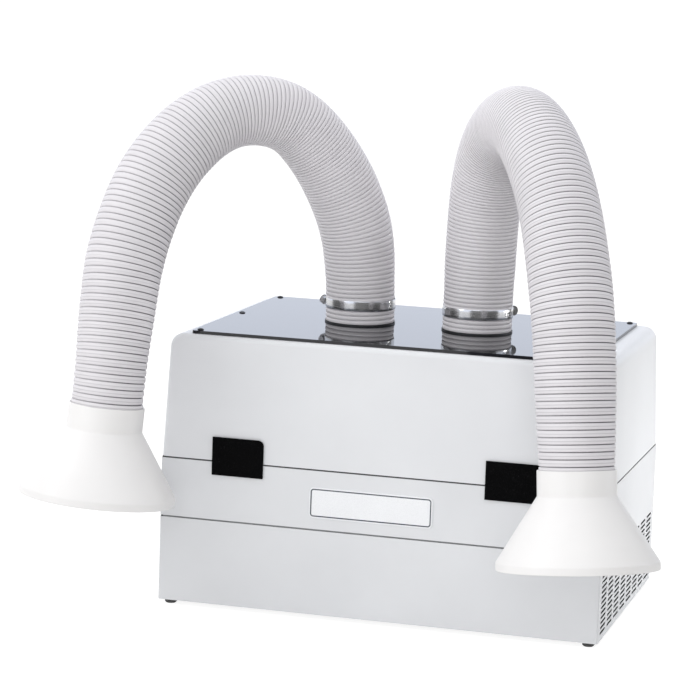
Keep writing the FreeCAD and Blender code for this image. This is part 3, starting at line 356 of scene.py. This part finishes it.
def filletOutline(corners, steps=5):  # (radius, height, fillet) all round a section
    outline = []
    for index, (radius, height, fillet) in enumerate(corners):
        here = Vector((radius, height))
        legs = [Vector(corners[other][:2]) - here for other in (index - 1, (index + 1) % len(corners))]
        if not fillet:
            outline.append(here)
            continue
        reach = min(fillet / math.tan(legs[0].angle(legs[1]) / 2), legs[0].length / 2, legs[1].length / 2)
        start, end = (here + leg.normalized() * reach for leg in legs)
        for step in range(steps + 1):
            share = step / steps
            outline.append(start.lerp(here, share).lerp(here.lerp(end, share), share))
    return outline


def spunShape(outline, steps):
    shape = bmesh.new()
    corners = [shape.verts.new((spot[0], 0.0, spot[1])) for spot in outline]
    runs = [shape.edges.new(pair) for pair in zip(corners, corners[1:] + corners[:1])]
    bmesh.ops.spin(shape, geom=corners + runs, cent=(0, 0, 0), axis=(0, 0, 1), dvec=(0, 0, 0),
                   angle=2 * math.pi, steps=steps, use_merge=True, use_duplicate=False)
    bmesh.ops.remove_doubles(shape, verts=shape.verts, dist=1e-6)
    bmesh.ops.recalc_face_normals(shape, faces=shape.faces)
    return shape


def softenEdges(shape, offset, segments=2, angle=0.35):
    keen = [edge for edge in shape.edges if len(edge.link_faces) == 2 and edge.calc_face_angle() > angle]
    bmesh.ops.bevel(shape, geom=keen, offset=offset, offset_type="OFFSET", segments=segments, profile=0.5,
                    affect="EDGES", clamp_overlap=True, material=-1)


def slabShape(columns, rows, front, back):  # closed slab; front and back give a point for shares across and up
    shape = bmesh.new()
    sheets = []
    for surface in (front, back):
        sheets.append([[shape.verts.new(surface(column / columns, row / rows)) for column in range(columns + 1)]
                       for row in range(rows + 1)])
    for sheet in sheets:
        for row in range(rows):
            for column in range(columns):
                shape.faces.new((sheet[row][column], sheet[row][column + 1],
                                 sheet[row + 1][column + 1], sheet[row + 1][column]))
    spots = [(0, column) for column in range(columns)] + [(row, columns) for row in range(rows)]
    spots += [(rows, column) for column in range(columns, 0, -1)] + [(row, 0) for row in range(rows, 0, -1)]
    for (row, column), (nextRow, nextColumn) in zip(spots, spots[1:] + spots[:1]):
        shape.faces.new((sheets[0][row][column], sheets[0][nextRow][nextColumn],
                         sheets[1][nextRow][nextColumn], sheets[1][row][column]))
    bmesh.ops.recalc_face_normals(shape, faces=shape.faces)
    return shape


# hoses: the routes are those of the CAD hoses, as reach along the arm, rise above the collar and how far aside
hoseSpec = {
    "routes": {
        "left": [(0, 0, 0), (.001, .066, 0), (.014, .136, 0), (.058, .214, .005), (.114, .269, .017),
                 (.201, .268, .034), (.281, .202, .038), (.332, .106, .026), (.352, .0225, .011),
                 (.3655, -.053, 0), (.371, -.110, 0)],
        "right": [(0, 0, 0), (0, .130, 0), (.026, .225, 0), (.096, .274, 0), (.172, .264, 0), (.257, .203, 0),
                  (.315, .100, 0), (.342, .002, 0), (.364, -.135, 0)],
    },
    "turn": {"left": -40.0, "right": 32.6},  # degrees from straight forward
    "foot": {"left": (-.081, 0, .350), "right": (.073, 0, .350)},
    "bend": {"left": (.055, .32), "right": (.05, .31)},  # reach over which the hose gives when the nozzle is set
    "diameter": .088,
    "bore": .076,
    "groove": .0015,
    "pitch": {  # rib spacing by distance from the collar: drawn out on the way down, gathered before the crown
        "left": [(0, .0058), (.12, .0059), (.18, .0048), (.24, .0043), (.30, .0045), (.36, .0053), (.42, .0060),
                 (.48, .0067), (.54, .0069), (.66, .0081), (.785, .0085), (.795, .0074), (.82, .0074)],
        "right": [(0, .0056), (.12, .0051), (.36, .0049), (.42, .0060), (.48, .0064), (.54, .0072), (.72, .0081),
                  (.805, .0085), (.815, .0074), (.85, .0074)],
    },
    "swell": {  # share of the diameter by distance
        "left": [(0, 1), (.05, 1), (.08, 1.03), (.12, 1.05), (.18, 1.045), (.28, .985), (.37, 1), (.44, 1.06),
                 (.51, 1.09), (.61, 1.09), (.68, 1.05), (.74, .99), (.78, .98), (.79, 1), (.82, 1)],
        "right": [(0, 1), (.05, 1), (.08, 1.02), (.30, 1.03), (.42, 1.08), (.60, 1.11), (.72, 1.08), (.81, 1), (.85, 1)],
    },
    "grooveShade": {  # how dark the painted shade in the grooves is, by distance
        "left": [(0, .05), (.20, .06), (.28, .25), (.36, .50), (.45, .56), (.60, .72), (.84, .70)],
        "right": [(0, .08), (.19, .10), (.24, .80), (.30, 1), (.85, 1)],
    },
    "flank": {  # how far the painted shade climbs onto the rib, by distance
        "left": [(0, 0), (.36, 0), (.42, .35), (.54, .25), (.66, 0)],
        "right": [(0, 0), (.20, .2), (.26, .9), (.36, .8), (.45, .35), (.55, 0)],
    },
    "shadeRight": {"left": .6, "right": .3},  # painted shade: more of the dark on the right-hand side, away from the key light
    "seam": {"left": (.55, .70), "right": (.40, .52)},  # where the faint line in mid rib starts and is full
    "profile": [(.02, -.0004), (.14, 0), (.45, .0002), (.74, -.0001), (.84, -.0005)],
    "segments": 56,
}


def armSpot(side, reach, rise, aside=0.0):
    turn = math.radians(hoseSpec["turn"][side])
    return Vector(hoseSpec["foot"][side]) + Vector((math.sin(turn) * reach - math.cos(turn) * aside,
                                                    -math.cos(turn) * reach - math.sin(turn) * aside, rise))


def splinePoints(name, controls):
    data = bpy.data.curves.new(name, "CURVE")
    data.dimensions = "3D"
    data.resolution_u = 24
    spline = data.splines.new("NURBS")
    spline.points.add(len(controls) - 1)
    for point, spot in zip(spline.points, controls):
        point.co = (*spot, 1.0)
    spline.order_u = 3
    spline.use_endpoint_u = True
    route = bpy.data.objects.new(name, data)
    scene.collection.objects.link(route)
    line = bpy.data.meshes.new_from_object(route.evaluated_get(bpy.context.evaluated_depsgraph_get()))
    points = [vertex.co.copy() for vertex in line.vertices]
    bpy.data.objects.remove(route)
    bpy.data.meshes.remove(line)
    return points


def between(table, distance):
    index = min(max(bisect.bisect_right([row[0] for row in table], distance) - 1, 0), len(table) - 2)
    (start, low), (end, high) = table[index:index + 2]
    return low + (high - low) * min(max((distance - start) / (end - start), 0), 1)


def ribStarts(length, table):
    starts = [0.0]
    while starts[-1] < length:
        starts.append(starts[-1] + between(table, starts[-1]))
    return [start * length / starts[-1] for start in starts]


def straightHose(side, starts, spec):  # a ribbed tube along Z with its bore, before it is bent
    outline = []
    for start, end in zip(starts, starts[1:]):
        crest = spec["diameter"] / 2 * between(spec["swell"][side], start)
        outline += [(crest + rise, start + (end - start) * share) for share, rise in spec["profile"]]
        outline += [(crest - spec["groove"], start + (end - start) * share) for share in (.885, .98)]
    outline.append((crest, starts[-1]))
    outline += [(spec["bore"] / 2, start) for start in reversed(starts)]
    return spunShape(outline, spec["segments"])


def bendHose(side, shape, points, runs, starts, spec):
    rib = shape.verts.layers.float.new("rib")
    groove = shape.verts.layers.float.new("groove")
    seam = shape.verts.layers.float.new("seam")
    across = (armSpot(side, 1, 0) - armSpot(side, 0, 0)).cross(Vector((0, 0, 1)))
    seamStart, seamFull = spec["seam"][side]
    for vertex in shape.verts:
        x, y, z = vertex.co
        count = min(max(bisect.bisect_right(starts, z) - 1, 0), len(starts) - 2)
        share = (z - starts[count]) / (starts[count + 1] - starts[count])
        vertex[rib] = count + min(max(share, 0.0), 1.0)
        dark = 1 if .87 < share < .99 else between(spec["flank"][side], z) if .80 < share < .87 else 0
        vertex[seam] = between([(seamStart, 0.0), (seamFull, 1.0)], z)
        index = min(max(bisect.bisect_right(runs, z) - 1, 0), len(runs) - 2)
        share = (z - runs[index]) / (runs[index + 1] - runs[index])
        before, after = points[max(index - 1, 0)], points[min(index + 2, len(points) - 1)]
        first = (points[index + 1] - before).normalized()
        heading = first.lerp((after - points[index]).normalized(), share).normalized()
        level = (across - heading * across.dot(heading)).normalized()
        outward = level * x + heading.cross(level) * y
        # painted shade in the grooves: darker on the right, the side away from the key light
        sideShade = 1 + spec["shadeRight"][side] * outward.normalized().x
        vertex[groove] = between(spec["grooveShade"][side], z) * sideShade * dark
        vertex.co = points[index].lerp(points[index + 1], share) + outward


def makeHose(side, spec):
    points = splinePoints(side + "Route", [armSpot(side, *spot) for spot in spec["routes"][side]])
    runs = [0.0]
    for before, after in zip(points, points[1:]):
        runs.append(runs[-1] + (after - before).length)
    starts = ribStarts(runs[-1], spec["pitch"][side])
    shape = straightHose(side, starts, spec)
    bendHose(side, shape, points, runs, starts, spec)
    hose = keepPiece(side + "HoseRibbed", shape, None, "hose_vinyl", (side + "_hose",), sharp=50)
    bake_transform(hose)
    print(side, "hose length", round(runs[-1], 4), "ribs", len(starts) - 1)
    return hose, points, runs[-1]


# nozzles
nozzleSpec = {"socket": .0443, "wall": .002, "bore": .038, "rim": .095, "lip": .009, "socketDepth": .026,
              "collar": .030, "length": .115, "stop": -.0003, "steps": 128}


def makeNozzle(side, spec, heading, tip):
    top, neck, rim = spec["socketDepth"], spec["socketDepth"] - spec["collar"], spec["socketDepth"] - spec["length"]
    inner, outer = spec["socket"], spec["socket"] + spec["wall"]
    mouth = spec["rim"] - spec["wall"]
    shape = spunShape(filletOutline([
        (inner, top, .0006), (inner, spec["stop"], 0), (spec["bore"], spec["stop"], 0), (spec["bore"], neck, .0004),
        (inner, neck, .002), (mouth, rim + spec["lip"], .008), (mouth, rim, .0007), (spec["rim"], rim, .0012),
        (spec["rim"], rim + spec["lip"], .006), (outer, neck, .004), (outer, top, .0009)]), spec["steps"])
    turn = Vector((0, 0, 1)).rotation_difference(-heading).to_matrix().to_4x4()
    bmesh.ops.transform(shape, matrix=Matrix.Translation(tip) @ turn, verts=shape.verts)
    return keepPiece(side + "NozzleCone", shape, side + "_head", "nozzle_white", (side + "_nozzle",), sharp=50)


for side in ("left", "right"):
    hose, points, length = makeHose(side, hoseSpec)
    route = hoseSpec["routes"][side]
    heading = (armSpot(side, *route[-1]) - armSpot(side, *route[-2])).normalized()
    cone = makeNozzle(side, nozzleSpec, heading, points[-1])

# clamp bands with the slots that the worm screw turns in
bandSpec = {"columns": 144, "wall": .0007, "slotLow": .30, "slotHigh": .70, "slant": .012,
            "slots": {"left": (150, 105), "right": (17, -28)}}  # degrees round the collar, from the housing on


def makeBand(side, spec):
    low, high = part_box(side + "_clamp_band")
    centre = (low + high) / 2
    radius = (high.x - low.x) / 2
    first, last = sorted(spec["slots"][side])
    shape = bmesh.new()
    rings = []
    for share in (0, .06, spec["slotLow"], spec["slotHigh"], .94, 1):
        roll = .0003 if share in (0, 1) else 0
        ring = []
        for column in range(spec["columns"]):
            angle = 2 * math.pi * column / spec["columns"] + spec["slant"] * (share - .5)
            ring.append(shape.verts.new((centre.x + math.cos(angle) * (radius - roll),
                                         centre.y + math.sin(angle) * (radius - roll),
                                         low.z + (high.z - low.z) * share)))
        rings.append(ring)
    for row, (lower, upper) in enumerate(zip(rings, rings[1:])):
        for column in range(spec["columns"]):
            degrees = 360 * column / spec["columns"]
            degrees -= 360 if degrees > 180 and last < 90 else 0
            if row == 2 and column % 2 and first < degrees < last:
                continue
            after = (column + 1) % spec["columns"]
            shape.faces.new((lower[column], lower[after], upper[after], upper[column]))
    bmesh.ops.recalc_face_normals(shape, faces=shape.faces)
    bmesh.ops.solidify(shape, geom=shape.faces[:], thickness=spec["wall"])
    return keepPiece(side + "BandSlotted", shape, side + "_arm", "stainless", (side + "_clamp_band",))


for side in ("left", "right"):
    makeBand(side, bandSpec)
print("hoses, nozzles and clamps made")

# hook-and-loop tabs: one strip across the seam, and the hooks on the lid behind
tabSpec = {"columns": 44, "rows": 34, "corner": .006, "round": {"left": True, "right": False}, "ripple": .00022,
           "fold": .0025, "soft": .0004}


def makeTab(side, spec):
    low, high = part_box(side + "_tab_base")
    flapLow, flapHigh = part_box(side + "_tab_flap")
    hinge = (high.z + flapLow.z) / 2

    def spot(across, up, y):
        z = low.z + (flapHigh.z - low.z) * up
        right = high.x
        climb = z - (flapHigh.z - spec["corner"])
        if spec["round"][side] and climb > 0:
            right -= spec["corner"] - math.sqrt(max(spec["corner"] ** 2 - climb ** 2, 0))
        return Vector((low.x + (right - low.x) * across, y, z))

    def front(across, up):
        place = spot(across, up, flapLow.y + spec["ripple"])
        edge = min(across, 1 - across, up, 1 - up)
        place.y -= spec["ripple"] * min(edge * 12, 1) * (.5 + .5 * noise.noise(place * 90))
        return place

    def back(across, up):
        place = spot(across, up, flapHigh.y)
        place.y = high.y if place.z < hinge - .001 else flapHigh.y
        return place

    shape = slabShape(spec["columns"], spec["rows"], front, back)
    softenEdges(shape, spec["soft"], 2, 1.0)
    strip = keepPiece(side + "TabStrip", shape, None, "textile_black", (side + "_tab_base", side + "_tab_flap"), sharp=60)
    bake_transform(strip)

    patchLow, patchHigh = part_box(side + "_hook_patch")
    hooks = .00035

    def hookSpot(across, up, y):
        return Vector((patchLow.x + (patchHigh.x - patchLow.x) * across, y, patchLow.z + (patchHigh.z - patchLow.z) * up))

    def hookFace(across, up):
        column, row = round(across * 66), round(up * 24)
        stands = column % 2 and row % 2
        return hookSpot(across, up, patchLow.y + (0 if stands else hooks))

    shape = slabShape(66, 24, hookFace, lambda across, up: hookSpot(across, up, patchHigh.y))
    keepPiece(side + "HookPatch", shape, "lid", "textile_black", (side + "_hook_patch",), sharp=80)


for side in ("left", "right"):
    makeTab(side, tabSpec)
print("tabs made")

# plain plate on the front strip, with a raised edge and no lettering
plateSpec = {"x": (-.0862, .0700), "z": (.1285, .1665), "face": -.1860, "thick": .0014, "corner": .0055,
             "edge": .0020, "edgeRise": .0004, "cornerSteps": 6}


def plateLoop(spec, inset, depth):
    (left, right), (low, high) = spec["x"], spec["z"]
    radius = max(spec["corner"] - inset, .0008)
    loop = []
    for quarter, (x, z) in enumerate(((right, high), (left, high), (left, low), (right, low))):
        centreX = x + (inset + radius) * (1 if x == left else -1)
        centreZ = z + (inset + radius) * (1 if z == low else -1)
        for step in range(spec["cornerSteps"] + 1):
            angle = (quarter + step / spec["cornerSteps"]) * math.pi / 2
            loop.append(Vector((centreX + radius * math.cos(angle), spec["face"] - depth,
                                centreZ + radius * math.sin(angle))))
    return loop


def plateFinish():
    material, tree, shader, where = startMaterial("blank_plate")
    grain = addGrain(tree, where, 1200.0, 18.0)
    edge = addNode(tree, "Attribute", attribute_name="edge").outputs["Fac"]
    face = mixColour(tree, ranged(tree, grain.outputs["Mottle"], 0.0, 1.0, 0.3, 0.7), (0.84, 0.85, 0.87, 1.0),
                     (0.88, 0.89, 0.91, 1.0))
    setSocket(tree, shader.inputs["Base Color"], mixColour(tree, edge, face, (0.07, 0.08, 0.10, 1.0)))
    setSocket(tree, shader.inputs["Roughness"], ranged(tree, grain.outputs["Grain"], 0.22, 0.34, 0.25, 0.75))
    addBump(tree, shader, grain.outputs["Grain"], 0.04, 0.0002)
    return material


def makePlate(spec):
    shape = bmesh.new()
    edge = shape.verts.layers.float.new("edge")
    thick, width, rise = spec["thick"], spec["edge"], spec["edgeRise"]
    loops = []
    for inset, depth, mark in ((0, 0, 0), (0, thick - .0003, 0), (.0003, thick, 0), (width * .7, thick, 0),
                               (width * .8, thick, 1), (width * 1.5, thick, 1), (width * 1.6, thick - rise, 0),
                               (width * 3, thick - rise, 0)):
        ring = [shape.verts.new(place) for place in plateLoop(spec, inset, depth)]
        for vertex in ring:
            vertex[edge] = mark
        loops.append(ring)
    for outer, inner in zip(loops, loops[1:]):
        for index in range(len(outer)):
            after = (index + 1) % len(outer)
            shape.faces.new((outer[index], outer[after], inner[after], inner[index]))
    shape.faces.new(loops[-1])
    shape.faces.new(loops[0])
    return keepPiece("blankPlate", shape, "cabinet", "case_white", sharp=40)


blankPlate = makePlate(plateSpec)
blankPlate.data.materials[0] = plateFinish()

# screws of the top plate, with a cross recess
screwSpec = {"head": .004, "shank": .002, "length": .009, "crown": .0012, "skirt": .0007, "grid": 14, "arm": 1,
             "reach": .62, "recess": .0011}


def screwShape(spec, place, turn):
    shape = bmesh.new()
    bmesh.ops.create_grid(shape, x_segments=spec["grid"], y_segments=spec["grid"], size=1.0)
    cell = 2 / spec["grid"]
    cross = []
    for face in shape.faces:
        middle = face.calc_center_median()
        thin, far = sorted((abs(middle.x), abs(middle.y)))
        if thin < cell * spec["arm"] and far < spec["reach"]:
            cross.append(face)
    rim = [edge for edge in shape.edges if edge.is_boundary]
    for vertex in shape.verts:
        x, y = vertex.co.xy
        u, v = x * math.sqrt(1 - y * y / 2), y * math.sqrt(1 - x * x / 2)
        vertex.co = (u * spec["head"], v * spec["head"], spec["skirt"] + spec["crown"] * (1 - (u * u + v * v) ** 1.6))
    skirt = bmesh.ops.extrude_edge_only(shape, edges=rim)["geom"]
    for vertex in skirt:
        if isinstance(vertex, bmesh.types.BMVert):
            vertex.co.z = 0
    bmesh.ops.holes_fill(shape, edges=[edge for edge in shape.edges if edge.is_boundary], sides=0)
    sunk = bmesh.ops.extrude_face_region(shape, geom=cross)["geom"]
    bmesh.ops.delete(shape, geom=cross, context="FACES_ONLY")
    for vertex in sunk:
        if isinstance(vertex, bmesh.types.BMVert):
            vertex.co.z -= spec["recess"]
            vertex.co.xy *= .92
    bmesh.ops.create_cone(shape, cap_ends=True, segments=20, radius1=spec["shank"], radius2=spec["shank"],
                          depth=spec["length"], matrix=Matrix.Translation((0, 0, -spec["length"] / 2)))
    bmesh.ops.rotate(shape, verts=shape.verts, matrix=Matrix.Rotation(turn, 3, "Z"))
    bmesh.ops.translate(shape, verts=shape.verts, vec=place)
    return shape


def makeScrews(spec):
    low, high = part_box("plate_screws")
    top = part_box("top_plate")[1].z
    shape = bmesh.new()
    for side in (-1, 1):
        for row in (-1, 0, 1):
            place = Vector((side * (high.x - spec["head"]), row * (high.y - spec["head"]), top))
            single = bpy.data.meshes.new("screw")
            part = screwShape(spec, place, .5 + 1.1 * row + .7 * side)
            part.to_mesh(single)
            part.free()
            shape.from_mesh(single)
            bpy.data.meshes.remove(single)
    keepPiece("plateScrewsCross", shape, "lid", "dark_screw", ("plate_screws",), sharp=40)


makeScrews(screwSpec)

# prefilter pad on the filter stack
padSpec = {"columns": 60, "rows": 40, "crown": .22, "pull": .006, "dimple": .0012}


def makePad(spec):
    low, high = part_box("prefilter_pad")
    middle, half = (low + high) / 2, (high - low) / 2

    def surface(top):
        def spot(across, up):
            u, v = 2 * across - 1, 2 * up - 1
            x = u * (half.x - spec["pull"] * (1 - v * v))
            y = v * (half.y - spec["pull"] * (1 - u * u))
            edge = (1 - abs(u) ** 8) * (1 - abs(v) ** 8)
            if not top:
                return Vector((middle.x + x, middle.y + y, low.z))
            lumps = noise.noise(Vector((x, y, 0)) * 40) * spec["dimple"]
            swell = 1 - spec["crown"] + spec["crown"] * (1 - u * u) * (1 - v * v)
            height = (high.z - low.z - spec["dimple"]) * swell * (.55 + .45 * edge)
            return Vector((middle.x + x, middle.y + y, low.z + height + lumps * edge))
        return spot

    shape = slabShape(spec["columns"], spec["rows"], surface(True), surface(False))
    softenEdges(shape, .001, 2, 1.0)
    pad = keepPiece("prefilterFelt", shape, "cabinet", "filter_pad", ("prefilter_pad",), sharp=70)


makePad(padSpec)
print("plate, screws and pad made")

# studio
studio = {
    "floor": 40.0,
    "ambient": {"left": 0.97, "right": 0.48},  # soft light from all round, stronger from the left
    "lamps": {
        "key": {"place": (-3.1, -2.2, 2.3), "aim": (0, 0, .3), "size": 3.0, "power": 46.0, "spread": 180},
        "fill": {"place": (0.8, -3.5, 1.1), "aim": (0, 0, .3), "size": 1.8, "power": 24.0, "spread": 180},
        "top": {"place": (0, .6, 3.2), "aim": (0, 0, .3), "size": 2.6, "power": 26.0, "spread": 180},
        "side": {"place": (2.3, 1.3, .24), "aim": (.28, .10, .165), "size": 0.3, "power": 0.22, "spread": 14},
    },
    "cards": {"radius": 1.6, "height": 1.0, "tone": .20,
              "arcs": ((-98, -8), (34, 56), (-178, -138))},  # degrees, dark in reflections
    "glossTint": (1.24, 1.32, 1.50, 1.0),
}


def seenDirectly(tree):
    rays = addNode(tree, "LightPath")
    first = reckon(tree, "MAXIMUM", rays.outputs["Is Camera Ray"], rays.outputs["Is Glossy Ray"])
    return reckon(tree, "MAXIMUM", first, rays.outputs["Is Transmission Ray"]), rays.outputs["Is Camera Ray"]


def stageMesh(name, shape):
    data = bpy.data.meshes.new(name)
    shape.to_mesh(data)
    shape.free()
    thing = bpy.data.objects.new(name, data)
    scene.collection.objects.link(thing)
    material, tree, shader, where = startMaterial(name)
    tree.nodes.remove(shader)
    data.materials.append(material)
    return thing, tree


def makeFloor(spec):
    shape = bmesh.new()
    bmesh.ops.create_grid(shape, x_segments=1, y_segments=1, size=spec["floor"])
    floor, tree = stageMesh("studioFloor", shape)
    pale = addNode(tree, "BsdfDiffuse", {"Color": (0.8, 0.8, 0.8, 1)})
    catch = addNode(tree, "BsdfDiffuse", {"Color": (0.3, 0.3, 0.3, 1)})
    glow = addNode(tree, "Emission", {"Color": (1, 1, 1, 1), "Strength": 0.90})
    both = addNode(tree, "AddShader", {0: catch.outputs[0], 1: glow.outputs[0]})
    direct, camera = seenDirectly(tree)
    mix = addNode(tree, "MixShader", {0: direct, 1: pale.outputs[0], 2: both.outputs[0]})
    setSocket(tree, tree.nodes["Material Output"].inputs["Surface"], mix.outputs[0])


def makeCards(spec):
    shape = bmesh.new()
    for start, end in spec["arcs"]:
        rail = []
        for step in range(13):
            angle = math.radians(start + (end - start) * step / 12)
            x, y = math.cos(angle) * spec["radius"], math.sin(angle) * spec["radius"]
            rail.append([shape.verts.new((x, y, z)) for z in (.001, spec["height"])])
        for before, after in zip(rail, rail[1:]):
            shape.faces.new((before[0], after[0], after[1], before[1]))
    cards, tree = stageMesh("darkCards", shape)
    dark = addNode(tree, "BsdfDiffuse", {"Color": opaque([spec["tone"]] * 3)})
    setSocket(tree, tree.nodes["Material Output"].inputs["Surface"], dark.outputs[0])
    cards.visible_camera = False
    cards.visible_diffuse = False
    cards.visible_shadow = False
    cards.visible_transmission = False


def makeWorld(spec):
    world = bpy.data.worlds.new("studioWorld")
    world.use_nodes = True
    scene.world = world
    tree = world.node_tree
    ambient = tree.nodes["Background"]
    ambient.inputs["Color"].default_value = (1, 1, 1, 1)
    aim = addNode(tree, "SeparateXYZ", {"Vector": addNode(tree, "TexCoord").outputs["Generated"]})
    setSocket(tree, ambient.inputs["Strength"], ranged(tree, aim.outputs["X"], spec["ambient"]["left"],
                                                       spec["ambient"]["right"], -1.0, 1.0))
    direct, camera = seenDirectly(tree)
    seen = mixColour(tree, camera, spec["glossTint"], (1, 1, 1, 1))
    white = addNode(tree, "Background", {"Color": seen, "Strength": 1.0})
    mix = addNode(tree, "MixShader", {0: direct, 1: ambient.outputs[0], 2: white.outputs[0]})
    setSocket(tree, tree.nodes["World Output"].inputs["Surface"], mix.outputs[0])


def makeLamps(lamps):
    for name, spec in lamps.items():
        lamp = bpy.data.lights.new(name, "AREA")
        lamp.size = spec["size"]
        lamp.energy = spec["power"]
        lamp.spread = math.radians(spec["spread"])
        holder = bpy.data.objects.new(name, lamp)
        scene.collection.objects.link(holder)
        holder.location = spec["place"]
        holder.rotation_euler = (Vector(spec["aim"]) - Vector(spec["place"])).to_track_quat("-Z", "Y").to_euler()


makeFloor(studio)
makeCards(studio["cards"])
makeWorld(studio)
makeLamps(studio["lamps"])
print("studio ready")
